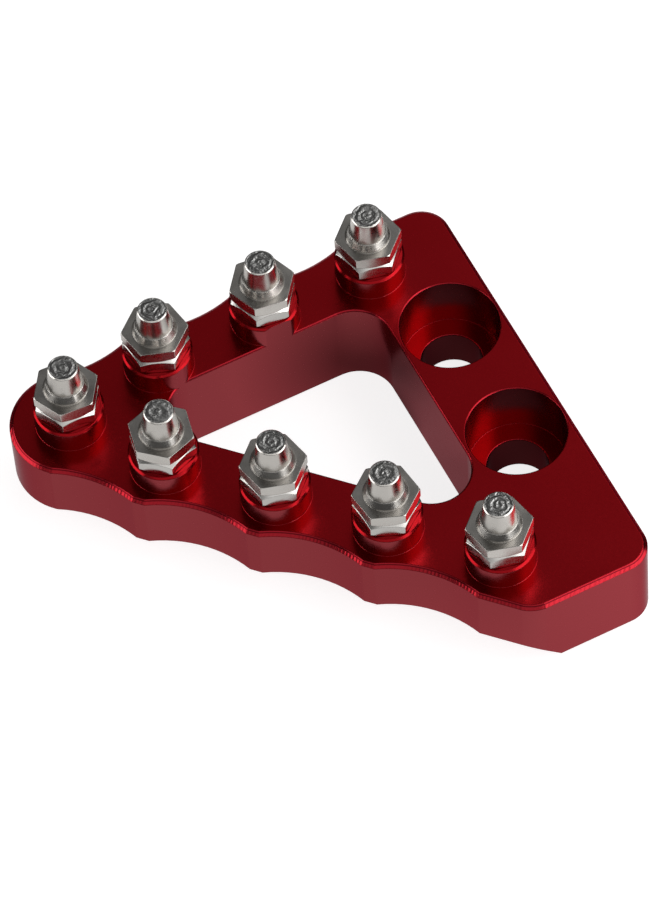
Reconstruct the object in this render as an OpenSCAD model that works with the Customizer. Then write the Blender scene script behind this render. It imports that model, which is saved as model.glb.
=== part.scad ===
// Rear brake pedal step plate: an open triangular plate with eight grip studs and lock nuts.
// Origin: midway between the two mounting holes, on the flat underside. Units are millimetres.
// X runs from the stud tip towards the mounting bar, Y runs along the bar, Z points up.

/* [Plate] */
// Thickness of the plate
plate_thickness = 12.6; // [11:0.1:14]
// Width of the mounting bar across X
bar_width = 12.8; // [12.8:0.1:16]
// Distance from the origin to the back edge of the plate
back_edge_y = 24.9; // [23.5:0.1:27]
// Distance from the origin to the short end edge
end_edge_y = 30.7; // [29:0.1:33]
// Angle between the back edge and the front edge
front_angle = 46.3; // [45:0.1:48]
// Distance from the front stud row to the front edge
front_edge_offset = 5.7; // [5:0.1:7]
// Radius of the rounded tip around the first stud
tip_radius = 7.1; // [6:0.1:8]
// Radius of the two rounded corners of the bar
bar_corner_radius = 3.5; // [2:0.1:5]
// Radius of the corner between the front edge and the short end edge
end_corner_radius = 4.5; // [3:0.1:6]
// Bevel along the top outer edges
top_bevel = 0.5; // [0.3:0.1:0.8]
// Bevel along the lower edges of the bar
lower_bevel = 1; // [0.5:0.1:1.5]

/* [Underside relief] */
// How far the stud arms are cut back at the underside
relief_depth = 3; // [1.5:0.1:3.5]
// How high the cut back reaches up the side of the arms
relief_height = 4.5; // [3:0.1:6]

/* [Scallops] */
// Radius of every scallop in the stud arms
scallop_radius = 15.3; // [13:0.1:18]
// Depth of every scallop
scallop_depth = 1.3; // [0.8:0.1:1.5]
// Spacing of the scallops along both arms
scallop_pitch = 13.9; // [13:0.1:15]
// Position along the back edge of the scallop nearest the bar
back_scallop_x = 11.5; // [10:0.1:13]
// Position along the front edge of the scallop nearest the bar, from the last stud
front_scallop_start = 7; // [6:0.1:8]

/* [Window] */
// Width left between the window and the bar centre line
window_bar_offset = 6.4; // [5.9:0.1:6.4]
// Distance from the back stud row to the window
window_back_offset = 3.75; // [3.2:0.05:4]
// Distance from the front stud row to the window
window_front_offset = 4.2; // [3.5:0.05:4.3]
// Radius of the three window corners
window_corner_radius = 4.5; // [3.5:0.1:5]
// Bevel along the top edge of the window
window_edge_bevel = 0.2; // [0.1:0.05:0.4]

/* [Mounting holes] */
// Spacing of the two mounting holes
hole_pitch = 16.6; // [14:0.1:20]
// Diameter of the two mounting holes
hole_diameter = 7.2; // [6:0.1:8.5]
// Diameter of the counterbores
counterbore_diameter = 11.7; // [10:0.1:12]
// Depth of the counterbores
counterbore_depth = 7.4; // [5:0.1:8]
// Bevel on the rim of the counterbores and of the holes
hole_bevel = 0.1; // [0.05:0.05:0.35]

/* [Stud layout] */
// Position of the tip stud along X
tip_stud_x = 44.4; // [43:0.1:46]
// Position of the tip stud along Y
tip_stud_y = 17.3; // [16.5:0.1:18]
// Position of the back stud row along Y
back_row_y = 19.6; // [19:0.1:20.5]
// Position along X of the back row stud nearest the bar
back_row_x = 4.6; // [4:0.1:5.5]
// Spacing of the studs in the back row
back_row_pitch = 13.7; // [13:0.1:14]
// Position along X of the front row stud nearest the bar
front_row_x = 9.4; // [9:0.1:10]
// Position along Y of the front row stud nearest the bar
front_row_y = 22.5; // [21.5:0.1:23]
// Spacing of the studs in the front row
front_row_pitch = 13.5; // [13:0.1:14]

/* [Bosses] */
// Diameter of the eight raised bosses
boss_diameter = 8.2; // [8.1:0.1:9]
// Height of the bosses above the plate
boss_height = 3.2; // [2:0.1:4]
// Bevel on the top edge of the bosses
boss_bevel = 0.25; // [0.1:0.05:0.5]
// Depth of the stud bores below the top of the bosses
stud_bore_depth = 9; // [8:0.1:11]

/* [Lock nuts] */
// Thickness of the lock nuts
nut_thickness = 2; // [1.5:0.1:3]
// Width across the flats of the nuts and of the stud heads
hex_flats = 6.8; // [6.5:0.1:7.5]
// Slope of the bevels on the hexagon corners
hex_bevel_angle = 35; // [20:1:40]

/* [Studs] */
// Thickness of the hexagon of the studs
stud_hex_thickness = 1.9; // [1.5:0.1:3]
// Height of the pointed part above the hexagon
stud_cone_height = 4; // [3:0.1:6]
// Diameter of the flat tip
stud_tip_diameter = 3.5; // [2.5:0.1:3.8]
// Diameter at the base of the cone
stud_cone_diameter = 4.2; // [4:0.1:4.6]
// Diameter of the ring at the foot of the cone
ring_diameter = 5.2; // [5:0.1:6]
// Height of the straight side of the ring
ring_height = 0.2; // [0.1:0.05:0.5]
// Height of the slope from the ring up to the cone
ring_slope_height = 0.8; // [0.4:0.1:1.2]
// Width of the step between the slope and the cone
ring_step = 0.08; // [0.05:0.01:0.15]
// Bevel around the flat tip
stud_tip_bevel = 0.15; // [0.1:0.05:0.3]
// Diameter of the threaded shank
shank_diameter = 4; // [3:0.1:5]
// Length of the shank below the hexagon
shank_length = 8; // [6:0.1:9]
// Bevel at the lower end of the shank
shank_bevel = 0.4; // [0.2:0.05:0.6]
// Gap around the shank in the nuts and the bores
thread_clearance = 0.05; // [0.02:0.01:0.15]

/* [Hidden] */

plate_red = [0.55, 0.02, 0.05];
stud_grey = [0.75, 0.74, 0.72];
nut_grey = [0.70, 0.70, 0.69];

// Turn of each stud hexagon and each lock nut hexagon about its own axis
stud_turns = [56, 40, 52, 43, 18, 43, 38, 43];
nut_turns = [57, 37, 53, 47, 20, 44, 36, 47];

bar_half = bar_width / 2;
// Along the front edge from the tip towards the end, and outwards from it
front_along = [cos(front_angle), -sin(front_angle)];
front_out = [-sin(front_angle), -cos(front_angle)];

tip_stud = [-tip_stud_x, tip_stud_y];
front_last = [-front_row_x, -front_row_y];
stud_points = [
    tip_stud,
    [-back_row_x - 2 * back_row_pitch, back_row_y],
    [-back_row_x - back_row_pitch, back_row_y],
    [-back_row_x, back_row_y],
    front_last - 3 * front_row_pitch * front_along,
    front_last - 2 * front_row_pitch * front_along,
    front_last - front_row_pitch * front_along,
    front_last];

boss_top = plate_thickness + boss_height;
nut_top = boss_top + nut_thickness;
hex_top = nut_top + stud_hex_thickness;
stud_top = hex_top + stud_cone_height;
counterbore_floor = plate_thickness - counterbore_depth;

// Centres of the scallop circles outside the two arms
back_scallops = [for (i = [0 : 2])
    [-back_scallop_x - i * scallop_pitch, back_edge_y + scallop_radius - scallop_depth]];
front_scallops = [for (i = [0 : 3])
    front_last - (front_scallop_start + i * scallop_pitch) * front_along
    + (front_edge_offset + scallop_radius - scallop_depth) * front_out];

// Corner of the front edge with the short end edge
front_line = front_last + front_edge_offset * front_out;
end_corner_x = front_line[0] + (front_line[1] + end_edge_y) / tan(front_angle);
// The circle of the end corner stands out of both edges a little, so it crosses them cleanly
corner_overlap = 0.02;
end_inset = end_corner_radius - corner_overlap;
end_centre = [end_corner_x + end_inset * tan(front_angle / 2), end_inset - end_edge_y];
// The straight cuts run past the ends of the edges, the round one past the ends of the tip
cut_margin = 5;
tip_margin = 12;
front_reach = norm(front_last - tip_stud) + tip_radius;
front_start = front_line - front_reach * front_along;
front_length = front_reach + norm([end_corner_x, -end_edge_y] - front_line) + cut_margin;

// Centres and tangent points of the rounded window, and the turn of each of its sides
window_x = -window_bar_offset - window_corner_radius;
window_y = back_row_y - window_back_offset - window_corner_radius;
front_row_out = front_last * front_out;
window_out = front_row_out - window_front_offset - window_corner_radius;
window_centres = [
    [(window_out - window_y * front_out[1]) / front_out[0], window_y],
    [window_x, window_y],
    [window_x, (window_out - window_x * front_out[0]) / front_out[1]]];
window_points = [
    window_centres[0] + [0, window_corner_radius],
    window_centres[1] + [0, window_corner_radius],
    window_centres[1] + [window_corner_radius, 0],
    window_centres[2] + [window_corner_radius, 0],
    window_centres[2] + window_corner_radius * front_out,
    window_centres[0] + window_corner_radius * front_out];
window_turns = [0, -90, 180 - front_angle];

hex_radius = hex_flats / 2 / cos(30);
// Radius where the corner bevel meets the end of a hexagon: on the boss, in the groove and on top
hex_seat_radius = hex_flats / 2 - 0.05;
hex_groove_radius = hex_flats / 2 - 0.2;
hex_top_radius = hex_radius - 0.15;
shank_radius = shank_diameter / 2;
bore_radius = shank_radius + thread_clearance;

// The whole outline before the scallops
module outline() {
    polygon([
        [-tip_stud_x, tip_stud_y + tip_radius],
        [back_scallops[2][0], back_edge_y],
        [bar_half - bar_corner_radius, back_edge_y],
        [bar_half, back_edge_y - bar_corner_radius],
        [bar_half, bar_corner_radius - end_edge_y],
        [bar_half - bar_corner_radius, -end_edge_y],
        [end_corner_x, -end_edge_y],
        front_scallops[3] - (scallop_radius - scallop_depth) * front_out,
        tip_stud + tip_radius * front_out]);
    translate(tip_stud)
        circle(r = tip_radius, $fn = 96);
    for (y = [back_edge_y - bar_corner_radius, bar_corner_radius - end_edge_y])
        translate([bar_half - bar_corner_radius, y])
            circle(r = bar_corner_radius, $fn = 64);
}

// The rounded triangle of the window
module window_shape() {
    polygon(window_points);
    for (c = window_centres)
        translate(c)
            circle(r = window_corner_radius, $fn = 64);
}

// Top bevel, whole wall and underside cut of an outer edge, drawn across it: x is inwards, y is up
function top_profile(bevel) = [
    [-1, plate_thickness - bevel - 1],
    [bevel + 1, plate_thickness + 1],
    [-1, plate_thickness + 1]];
function wall_profile() = [
    [0, -1],
    [0, plate_thickness - top_bevel],
    [top_bevel + 1, plate_thickness + 1],
    [-end_corner_radius / 2, plate_thickness + 1],
    [-end_corner_radius / 2, -1]];
function low_profile(depth, height) = [
    [-depth / height, height + 1],
    [depth * (1 + 1 / height), -1],
    [-depth / height, -1]];

// A profile swept along a straight edge that starts at p, runs in direction a, material on its left
module edge_cut(p, a, len, profile) {
    translate([p[0], p[1], 0])
        rotate([0, 0, a])
            rotate([90, 0, 90])
                linear_extrude(height = len)
                    polygon(profile);
}

// A profile swept round an outer corner of radius r
module corner_cut(c, r, start, sweep, profile) {
    translate([c[0], c[1], 0])
        rotate([0, 0, start])
            rotate_extrude(angle = sweep, $fn = 96)
                polygon([for (q = profile) [r - q[0], q[1]]]);
}

// A scallop with its top bevel and its underside cut
module scallop_cut(c) {
    translate([c[0], c[1], -1]) {
        cylinder(r = scallop_radius, h = plate_thickness + 2, $fn = 128);
        cylinder(r1 = scallop_radius + relief_depth * (1 + 1 / relief_height),
            r2 = scallop_radius - relief_depth / relief_height,
            h = relief_height + 2, $fn = 128);
        translate([0, 0, plate_thickness - top_bevel])
            cylinder(r1 = scallop_radius - 1, r2 = scallop_radius + top_bevel + 1,
                h = top_bevel + 2, $fn = 128);
    }
}

module window_bevel() {
    for (i = [0 : 2])
        edge_cut(window_points[2 * i], window_turns[i],
            norm(window_points[2 * i + 1] - window_points[2 * i]),
            top_profile(window_edge_bevel));
    for (c = window_centres)
        translate([c[0], c[1], plate_thickness - window_edge_bevel - 1])
            cylinder(r1 = window_corner_radius - 1,
                r2 = window_corner_radius + window_edge_bevel + 1,
                h = window_edge_bevel + 2, $fn = 64);
}

module mounting_hole() {
    translate([0, 0, -1])
        cylinder(d = hole_diameter, h = plate_thickness, $fn = 64);
    translate([0, 0, counterbore_floor])
        cylinder(d = counterbore_diameter, h = plate_thickness, $fn = 96);
    translate([0, 0, counterbore_floor - hole_bevel - 1])
        cylinder(d1 = hole_diameter - 2, d2 = hole_diameter + 2 * hole_bevel + 2,
            h = hole_bevel + 2, $fn = 64);
    translate([0, 0, plate_thickness - hole_bevel - 1])
        cylinder(d1 = counterbore_diameter - 2, d2 = counterbore_diameter + 2 * hole_bevel + 2,
            h = hole_bevel + 2, $fn = 96);
}

// Every bevel and underside cut round the outside of the plate
module outer_cuts() {
    // Back edge and front edge
    for (profile = [top_profile(top_bevel), low_profile(relief_depth, relief_height)]) {
        edge_cut([bar_half + cut_margin, back_edge_y], 180,
            bar_half + tip_stud_x + 2 * cut_margin, profile);
        edge_cut(front_start, -front_angle, front_length, profile);
    }
    // Bar edge, short end edge and their corners
    for (profile = [top_profile(top_bevel), low_profile(lower_bevel, lower_bevel)]) {
        edge_cut([bar_half, -end_edge_y - cut_margin], 90,
            end_edge_y + back_edge_y + 2 * cut_margin, profile);
        edge_cut([end_corner_x - cut_margin, -end_edge_y], 0,
            bar_half - end_corner_x + 2 * cut_margin, profile);
        corner_cut([bar_half - bar_corner_radius, back_edge_y - bar_corner_radius],
            bar_corner_radius, 0, 90, profile);
        corner_cut([bar_half - bar_corner_radius, bar_corner_radius - end_edge_y],
            bar_corner_radius, 270, 90, profile);
    }
    corner_cut(end_centre, end_corner_radius, 270 - front_angle, front_angle, wall_profile());
    // Tip
    for (profile = [top_profile(top_bevel), low_profile(relief_depth, relief_height)])
        corner_cut(tip_stud, tip_radius, 90 - tip_margin, 180 - front_angle + 2 * tip_margin,
            profile);
    for (c = concat(back_scallops, front_scallops))
        scallop_cut(c);
}

module boss() {
    translate([0, 0, plate_thickness - 2])
        cylinder(d = boss_diameter, h = boss_height + 2 - boss_bevel, $fn = 64);
    translate([0, 0, boss_top - boss_bevel])
        cylinder(d1 = boss_diameter, d2 = boss_diameter - 2 * boss_bevel, h = boss_bevel, $fn = 64);
}

module pedal_plate() {
    color(plate_red)
        difference() {
            union() {
                difference() {
                    linear_extrude(height = plate_thickness)
                        outline();
                    outer_cuts();
                    window_bevel();
                }
                for (p = stud_points)
                    translate(p)
                        boss();
            }
            translate([0, 0, -1])
                linear_extrude(height = boss_top + 2)
                    window_shape();
            for (side = [-1, 1])
                translate([0, side * hole_pitch / 2, 0])
                    mounting_hole();
            for (p = stud_points)
                translate([p[0], p[1], boss_top - stud_bore_depth])
                    cylinder(r = bore_radius, h = stud_bore_depth + 1, $fn = 48);
        }
}

// Hexagon from z0 up, its corners bevelled off from the given end radii
module hex_body(z0, height, low_radius, high_radius) {
    rise = tan(hex_bevel_angle);
    intersection() {
        translate([0, 0, z0])
            cylinder(r = hex_radius, h = height, $fn = 6);
        rotate_extrude($fn = 72)
            polygon([
                [0, z0],
                [low_radius, z0],
                [hex_radius, z0 + (hex_radius - low_radius) * rise],
                [hex_radius, z0 + height - (hex_radius - high_radius) * rise],
                [high_radius, z0 + height],
                [0, z0 + height]]);
    }
}

module lock_nut(i) {
    color(nut_grey)
        translate([stud_points[i][0], stud_points[i][1], 0])
            difference() {
                rotate([0, 0, nut_turns[i]])
                    hex_body(boss_top, nut_thickness, hex_seat_radius, hex_groove_radius);
                translate([0, 0, boss_top - 1])
                    cylinder(r = bore_radius, h = nut_thickness + 2, $fn = 48);
            }
}

module stud(i) {
    cone_radius = stud_cone_diameter / 2;
    tip_edge = stud_tip_diameter / 2;
    ring_top = hex_top + ring_height + ring_slope_height;
    low = nut_top - shank_length;
    color(stud_grey)
        translate([stud_points[i][0], stud_points[i][1], 0]) {
            rotate([0, 0, stud_turns[i]])
                hex_body(nut_top, stud_hex_thickness, hex_groove_radius, hex_top_radius);
            // Shank below the hexagon
            rotate_extrude($fn = 48)
                polygon([
                    [0, low],
                    [shank_radius - shank_bevel, low],
                    [shank_radius, low + shank_bevel],
                    [shank_radius, nut_top + stud_hex_thickness / 2],
                    [0, nut_top + stud_hex_thickness / 2]]);
            // Ring, slope and cone
            rotate_extrude($fn = 72)
                polygon([
                    [0, hex_top - stud_hex_thickness / 2],
                    [ring_diameter / 2, hex_top - stud_hex_thickness / 2],
                    [ring_diameter / 2, hex_top + ring_height],
                    [cone_radius + ring_step, ring_top],
                    [cone_radius, ring_top],
                    [tip_edge, stud_top - stud_tip_bevel],
                    [tip_edge - stud_tip_bevel, stud_top],
                    [0, stud_top]]);
        }
}

module stud_1() {
    stud(0);
}

module stud_2() {
    stud(1);
}

module stud_3() {
    stud(2);
}

module stud_4() {
    stud(3);
}

module stud_5() {
    stud(4);
}

module stud_6() {
    stud(5);
}

module stud_7() {
    stud(6);
}

module stud_8() {
    stud(7);
}

module lock_nut_1() {
    lock_nut(0);
}

module lock_nut_2() {
    lock_nut(1);
}

module lock_nut_3() {
    lock_nut(2);
}

module lock_nut_4() {
    lock_nut(3);
}

module lock_nut_5() {
    lock_nut(4);
}

module lock_nut_6() {
    lock_nut(5);
}

module lock_nut_7() {
    lock_nut(6);
}

module lock_nut_8() {
    lock_nut(7);
}

pedal_plate();
stud_1();
stud_2();
stud_3();
stud_4();
stud_5();
stud_6();
stud_7();
stud_8();
lock_nut_1();
lock_nut_2();
lock_nut_3();
lock_nut_4();
lock_nut_5();
lock_nut_6();
lock_nut_7();
lock_nut_8();
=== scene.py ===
"""Looks of the step plate: anodised plate, turned studs, lock nuts, a white table in a dim room."""

import math

import bpy
import numpy as np
from mathutils import Matrix, Vector

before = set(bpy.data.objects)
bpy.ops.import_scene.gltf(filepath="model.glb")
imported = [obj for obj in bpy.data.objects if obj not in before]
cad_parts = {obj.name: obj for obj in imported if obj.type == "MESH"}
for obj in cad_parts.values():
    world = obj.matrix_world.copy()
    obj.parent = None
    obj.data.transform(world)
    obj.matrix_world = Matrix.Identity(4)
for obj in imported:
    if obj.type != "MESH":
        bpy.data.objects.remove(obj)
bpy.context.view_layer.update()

MM = 0.001
PLATE_TOP = 12.6 * MM
STUD_TOP = 23.7 * MM
FRONT_ANGLE = math.radians(46.3)

# Stud places in the row frame and hole offset, in millimetres as in the part's source
TIP_STUD = (-44.4, 17.3)
BACK_ROW_Y = 19.6
LAST_BACK_X = -4.6
BACK_PITCH = 13.7
LAST_FRONT = (-9.4, -22.5)
FRONT_PITCH = 13.5
HOLE_Y = 8.3

# The table lies just under the part; the lamps stand round the middle of the part, in millimetres
TABLE_HALF = 3000
TABLE_DROP = 0.4
PART_MIDDLE = Vector((-20, 0, 14))
LAMP_REACH = 300


def row_points():
    """Stud axes in the row frame: tip stud, back row towards the bar, front row towards the end."""
    along = np.array([math.cos(FRONT_ANGLE), -math.sin(FRONT_ANGLE)])
    back = [(LAST_BACK_X - BACK_PITCH * k, BACK_ROW_Y) for k in (2, 1, 0)]
    front = [tuple(np.array(LAST_FRONT) - FRONT_PITCH * k * along) for k in (3, 2, 1, 0)]
    return [(x * MM, y * MM) for x, y in [TIP_STUD] + back + front]


class Graph:
    """A node tree of a material or a world, built by short calls."""

    def __init__(self, owner):
        self.owner = owner
        owner.use_nodes = True
        self.tree = owner.node_tree
        self.tree.nodes.clear()
        kind = "World" if isinstance(owner, bpy.types.World) else "Material"
        self.out = self.tree.nodes.new(f"ShaderNodeOutput{kind}")

    def node(self, kind, values=None, **settings):
        made = self.tree.nodes.new(kind)
        for key, value in settings.items():
            setattr(made, key, value)
        for key, value in (values or {}).items():
            if isinstance(value, bpy.types.NodeSocket):
                self.tree.links.new(value, made.inputs[key])
            else:
                made.inputs[key].default_value = value
        return made

    def math(self, operation, a, b=0.0, c=0.0):
        made = self.node("ShaderNodeMath", {0: a, 1: b, 2: c}, operation=operation)
        return made.outputs[0]

    def remap(self, value, from_low, from_high, to_low, to_high):
        made = self.node(
            "ShaderNodeMapRange", {0: value, 1: from_low, 2: from_high, 3: to_low, 4: to_high}
        )
        return made.outputs[0]

    def noise(self, vector, scale, detail=2.0, roughness=0.5):
        made = self.node(
            "ShaderNodeTexNoise",
            {"Vector": vector, "Scale": scale, "Detail": detail, "Roughness": roughness},
        )
        return made.outputs["Fac"]

    def line_noise(self, value, scale, detail=2.0):
        made = self.node(
            "ShaderNodeTexNoise",
            {"W": value, "Scale": scale, "Detail": detail},
            noise_dimensions="1D",
        )
        return made.outputs["Fac"]

    def mix(self, factor, a, b):
        made = self.node("ShaderNodeMix", {0: factor, 6: a, 7: b}, data_type="RGBA")
        return made.outputs[2]

    def bump(self, height, distance, strength=1.0, normal=None):
        values = {"Height": height, "Distance": distance, "Strength": strength}
        if normal is not None:
            values["Normal"] = normal
        return self.node("ShaderNodeBump", values).outputs["Normal"]

    def finish(self, shader):
        self.tree.links.new(shader.outputs[0], self.out.inputs[0])
        return self.owner

    def surface(self, values):
        return self.finish(self.node("ShaderNodeBsdfPrincipled", values))


def new_material(name):
    return Graph(bpy.data.materials.new(name))


def anodised():
    """Red anodised aluminium: fine grain, walls painted paler pink as a painted sheen, bevels tinted a
    little paler as a painted highlight, a painted shade line and chatter marks on the bevels, a few
    specks.
    """
    s = new_material("anodised_red")
    place = s.node("ShaderNodeTexCoord").outputs["Object"]
    axes = s.node("ShaderNodeSeparateXYZ", {0: place})
    facing = s.node("ShaderNodeNewGeometry").outputs["True Normal"]
    slope = s.node("ShaderNodeSeparateXYZ", {0: facing}).outputs[2]
    edge = s.node("ShaderNodeBevel", {"Radius": 0.14 * MM}, samples=8).outputs[0]
    grain = s.noise(place, 2600.0, 4.0, 0.7)
    cloud = s.noise(place, 90.0, 2.0)
    wall = s.math("LESS_THAN", slope, 0.4)
    low = s.math("LESS_THAN", axes.outputs[2], PLATE_TOP + 0.02 * MM)
    slanted = s.math("MULTIPLY", s.math("SUBTRACT", 1.0, wall), s.math("LESS_THAN", slope, 0.95))
    rim = s.math("MULTIPLY", slanted, low)
    # A dark line is painted near the top of each bevel as painted shade, and the cutter left chatter
    # marks across its lower part
    depth = s.math("SUBTRACT", PLATE_TOP, axes.outputs[2])
    painted_shade_line = s.math("COMPARE", depth, 0.14 * MM, 0.05 * MM)
    marked = s.math("MULTIPLY", rim, s.math("GREATER_THAN", depth, 0.19 * MM))
    along = s.math(
        "SUBTRACT",
        s.math("MULTIPLY", axes.outputs[0], math.cos(FRONT_ANGLE)),
        s.math("MULTIPLY", axes.outputs[1], math.sin(FRONT_ANGLE)),
    )
    wander = s.math("MULTIPLY", s.line_noise(along, 900.0), 0.4 * MM)
    tick_pitch = 0.44 * MM
    ticks = s.math("SINE", s.math("MULTIPLY", s.math("ADD", along, wander), 2 * math.pi / tick_pitch))
    chatter = s.math("MULTIPLY", s.math("MULTIPLY", ticks, marked), s.remap(cloud, 0.45, 0.6, 0.3, 1.0))
    first = s.bump(chatter, 0.012 * MM, 0.6, edge)
    fine = s.bump(grain, 0.004 * MM, 0.3, first)
    cells = s.node("ShaderNodeTexVoronoi", {"Vector": place, "Scale": 210.0})
    draw = s.node("ShaderNodeSeparateXYZ", {0: cells.outputs["Color"]}).outputs[0]
    rare = s.math("GREATER_THAN", draw, 0.9)
    speck = s.math("MULTIPLY", rare, s.remap(cells.outputs["Distance"], 0.02, 0.035, 0.7, 0.0))
    tint = s.mix(cloud, (0.27, 0.005, 0.008, 1), (0.33, 0.008, 0.012, 1))
    # Walls are painted a paler pink: a painted sheen
    tint = s.mix(wall, tint, (0.335, 0.056, 0.064, 1))
    # Bevels are tinted a little paler: a painted whitening of their highlights
    tint = s.mix(rim, tint, (0.33, 0.014, 0.022, 1))
    # The painted shade line darkens the bevels near their top
    tint = s.mix(s.math("MULTIPLY", s.math("MULTIPLY", rim, painted_shade_line), 0.75), tint, (0.06, 0.002, 0.004, 1))
    tint = s.mix(speck, tint, (0.55, 0.30, 0.28, 1))
    rough = s.remap(grain, 0.3, 0.7, 0.18, 0.28)
    return s.surface(
        {
            "Base Color": tint,
            "Metallic": 1.0,
            "Specular Tint": (0.62, 0.45, 0.47, 1),
            "Roughness": rough,
            "Normal": fine,
        }
    )


def turned(name, centre, tint, roughness):
    """Bright turned steel: rings round the cone, flats that point up painted a darker patchy grey as
    painted shade, a rough tool-marked tip.
    """
    s = new_material(name)
    place = s.node("ShaderNodeTexCoord").outputs["Object"]
    local = s.node(
        "ShaderNodeVectorMath", {0: place, 1: (centre[0], centre[1], 0)}, operation="SUBTRACT"
    ).outputs[0]
    axes = s.node("ShaderNodeSeparateXYZ", {0: local})
    flat = s.node("ShaderNodeCombineXYZ", {0: axes.outputs[0], 1: axes.outputs[1], 2: 0.0})
    radius = s.node("ShaderNodeVectorMath", {0: flat.outputs[0]}, operation="LENGTH").outputs["Value"]
    back = s.math("MULTIPLY", axes.outputs[1], -1.0)
    tangent = s.node("ShaderNodeCombineXYZ", {0: back, 1: axes.outputs[0], 2: 0.0}).outputs[0]
    tangent = s.node("ShaderNodeVectorMath", {0: tangent}, operation="NORMALIZE").outputs[0]
    facing = s.node("ShaderNodeNewGeometry").outputs["True Normal"]
    upward = s.math("GREATER_THAN", s.node("ShaderNodeSeparateXYZ", {0: facing}).outputs[2], 0.98)
    along = s.math("ADD", radius, axes.outputs[2])
    edge = s.node("ShaderNodeBevel", {"Radius": 0.1 * MM}, samples=8).outputs[0]
    rings = s.line_noise(along, 9000.0, 3.0)
    smear = s.noise(place, 420.0, 3.0, 0.6)
    # The flat tip has uneven tool rings and a small pip, broken up by scuffs
    tip = s.math("GREATER_THAN", axes.outputs[2], STUD_TOP - 0.02 * MM)
    scuff = s.noise(place, 950.0, 2.5, 0.6)
    bent = s.math("ADD", radius, s.math("MULTIPLY", scuff, 1.3 * MM))
    ring_pitch = 0.75 * MM
    wave = s.math("SINE", s.math("MULTIPLY", bent, 2 * math.pi / ring_pitch))
    deep = s.math("MULTIPLY", s.math("MULTIPLY", wave, scuff), tip)
    first = s.bump(deep, 0.06 * MM, 1.0, edge)
    normal = s.bump(rings, 0.003 * MM, 0.6, first)
    # Faces that point up are painted a darker, patchy grey: painted shade
    top_painted_shade = s.mix(smear, [0.30 * c for c in tint[:3]] + [1], [0.66 * c for c in tint[:3]] + [1])
    base = s.mix(upward, tint, top_painted_shade)
    base = s.mix(s.math("MULTIPLY", tip, 0.6), base, (0.30, 0.305, 0.305, 1))
    rough = s.remap(smear, 0.3, 0.7, roughness - 0.05, roughness + 0.08)
    return s.surface(
        {
            "Base Color": base,
            "Metallic": 1.0,
            "Roughness": rough,
            "Anisotropic": 0.4,
            "Tangent": tangent,
            "Normal": normal,
        }
    )


def paint(node, material):
    """Gives a CAD node its material in place of any it came with."""
    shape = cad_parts[node]
    shape.data.materials.clear()
    shape.data.materials.append(material)


paint("pedal_plate", anodised())
for i, centre in enumerate(row_points(), 1):
    paint(f"stud_{i}", turned(f"stud_steel_{i}", centre, (0.66, 0.63, 0.59, 1), 0.24))
    paint(f"lock_nut_{i}", turned(f"nut_steel_{i}", centre, (0.64, 0.62, 0.59, 1), 0.18))


def studio_floor():
    """A white table: to reflections it shows painted light and shade, bright round the part, shaded
    under its openings, dark far out.
    """
    signs = [(-1, -1), (1, -1), (1, 1), (-1, 1)]
    corners = [(a * TABLE_HALF * MM, b * TABLE_HALF * MM, -TABLE_DROP * MM) for a, b in signs]
    mesh = bpy.data.meshes.new("floor")
    mesh.from_pydata(corners, [], [(0, 1, 2, 3)])
    floor = bpy.data.objects.new("floor", mesh)
    bpy.context.scene.collection.objects.link(floor)
    s = new_material("studio_white")
    path = s.node("ShaderNodeLightPath")
    place = s.node("ShaderNodeTexCoord").outputs["Object"]
    x = s.node("ShaderNodeSeparateXYZ", {0: place}).outputs[0]
    # The table's reflections are painted brighter towards the right
    level = s.remap(x, -25 * MM, 5 * MM, 0.69, 1.0)
    # Painted light and shade in the table's reflections, as spots. Whole table, both holes, window
    # corner and bar: centre and radii in millimetres, light in and out
    for at, near, far, inside, outside in (
        ((-20, 0), 50, 85, 1.0, 0.08),
        ((0, HOLE_Y), 5, 8, 0.12, 1.0),
        ((0, -HOLE_Y), 5, 8, 0.12, 1.0),
        ((-9, 14), 1, 14, 0.22, 1.0),
        ((-6, -4), 4, 12, 0.55, 1.0),
    ):
        gap = s.node(
            "ShaderNodeVectorMath", {0: place, 1: (at[0] * MM, at[1] * MM, 0)}, operation="DISTANCE"
        ).outputs["Value"]
        level = s.math("MULTIPLY", level, s.remap(gap, near * MM, far * MM, inside, outside))
    camera = path.outputs["Is Camera Ray"]
    mirrored = s.math("MAXIMUM", path.outputs["Is Glossy Ray"], path.outputs["Is Transmission Ray"])
    # The camera sees white with a little of the lamps' own light on it, so the part's shade stays
    strength = s.math("ADD", s.math("MULTIPLY", camera, 0.82), s.math("MULTIPLY", mirrored, level))
    glow = s.node("ShaderNodeEmission", {"Color": (1, 1, 1, 1), "Strength": strength})
    share = s.math("SUBTRACT", s.math("SUBTRACT", 0.85, s.math("MULTIPLY", camera, 0.42)), mirrored)
    pale = s.node("ShaderNodeBsdfDiffuse", {"Color": s.node("ShaderNodeClamp", {0: share}).outputs[0]})
    both = s.node("ShaderNodeAddShader", {0: glow.outputs[0], 1: pale.outputs[0]})
    mesh.materials.append(s.finish(both))


def soft_light(name, azimuth, elevation, size, level):
    """A soft light that faces the part from a direction in degrees; its sides are in millimetres."""
    data = bpy.data.lights.new(name, "AREA")
    data.shape = "RECTANGLE"
    data.size, data.size_y = size[0] * MM, size[1] * MM
    data.energy = level * math.pi * data.size * data.size_y
    lamp = bpy.data.objects.new(name, data)
    bpy.context.scene.collection.objects.link(lamp)
    a, e = math.radians(azimuth), math.radians(elevation)
    way = Vector((math.cos(e) * math.cos(a), math.cos(e) * math.sin(a), math.sin(e)))
    lamp.location = (PART_MIDDLE + LAMP_REACH * way) * MM
    lamp.rotation_mode = "QUATERNION"
    lamp.rotation_quaternion = way.to_track_quat("Z", "Y")


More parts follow.
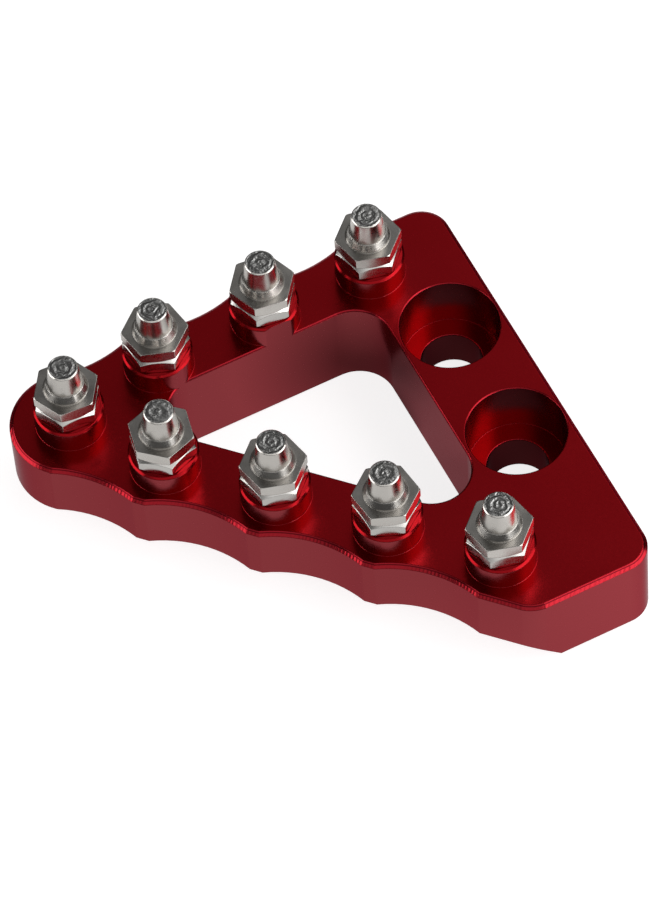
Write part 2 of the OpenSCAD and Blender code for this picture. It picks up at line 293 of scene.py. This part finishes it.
def studio():
    """A dim room, brighter to the right and in front, with soft lights left, right and overhead."""
    world = bpy.data.worlds.new("studio")
    s = Graph(world)
    way = s.node("ShaderNodeTexCoord").outputs["Generated"]
    axes = s.node("ShaderNodeSeparateXYZ", {0: way}).outputs
    high = s.remap(axes[2], 0.55, 0.75, 0.0, 1.0)
    room = s.remap(axes[2], 0.25, 0.75, 0.08, 0.14)
    near = s.remap(axes[0], 0.13, 0.25, 0.0, 0.31)
    right = s.math("ADD", near, s.remap(axes[0], 0.28, 0.5, 0.0, 1.2))
    front = s.math(
        "MULTIPLY", s.remap(axes[1], -0.15, -0.5, 0.0, 0.75), s.remap(axes[2], 0.3, 0.5, 0.0, 1.0)
    )
    level = s.math("ADD", s.math("ADD", room, front), s.math("MULTIPLY", high, right))
    camera = s.node("ShaderNodeLightPath").outputs["Is Camera Ray"]
    strength = s.node("ShaderNodeMix", {0: camera, 2: level, 3: 1.0}).outputs[0]
    s.finish(s.node("ShaderNodeBackground", {"Color": (1, 1, 1, 1), "Strength": strength}))
    bpy.context.scene.world = world
    soft_light("left_light", 157, 10, (310, 190), 2.5)
    soft_light("right_light", -46, 12, (390, 210), 2.5)
    soft_light("overhead_light", -20, 56, (200, 130), 1.9)


def photo_camera():
    """The photo's view: a long lens, looking down at the plate from its front edge."""
    data = bpy.data.cameras.new("camera")
    camera = bpy.data.objects.new("camera", data)
    bpy.context.scene.collection.objects.link(camera)
    right = Vector((0.89249213, -0.44850643, -0.04795607))
    up = Vector((0.40026553, 0.73847729, 0.54262215))
    out = Vector((-0.20795505, -0.50348116, 0.83860683))
    turn = Matrix((right, up, out)).transposed()
    camera.rotation_mode = "QUATERNION"
    camera.rotation_quaternion = turn.to_quaternion()
    camera.location = Vector((-171.395, -367.157, 623.371)) * MM
    data.lens = 254.95
    data.sensor_width = 36
    data.clip_start, data.clip_end = 0.01, 20
    bpy.context.scene.camera = camera


studio_floor()
studio()
photo_camera()
scene = bpy.context.scene
scene.view_settings.view_transform = "Standard"
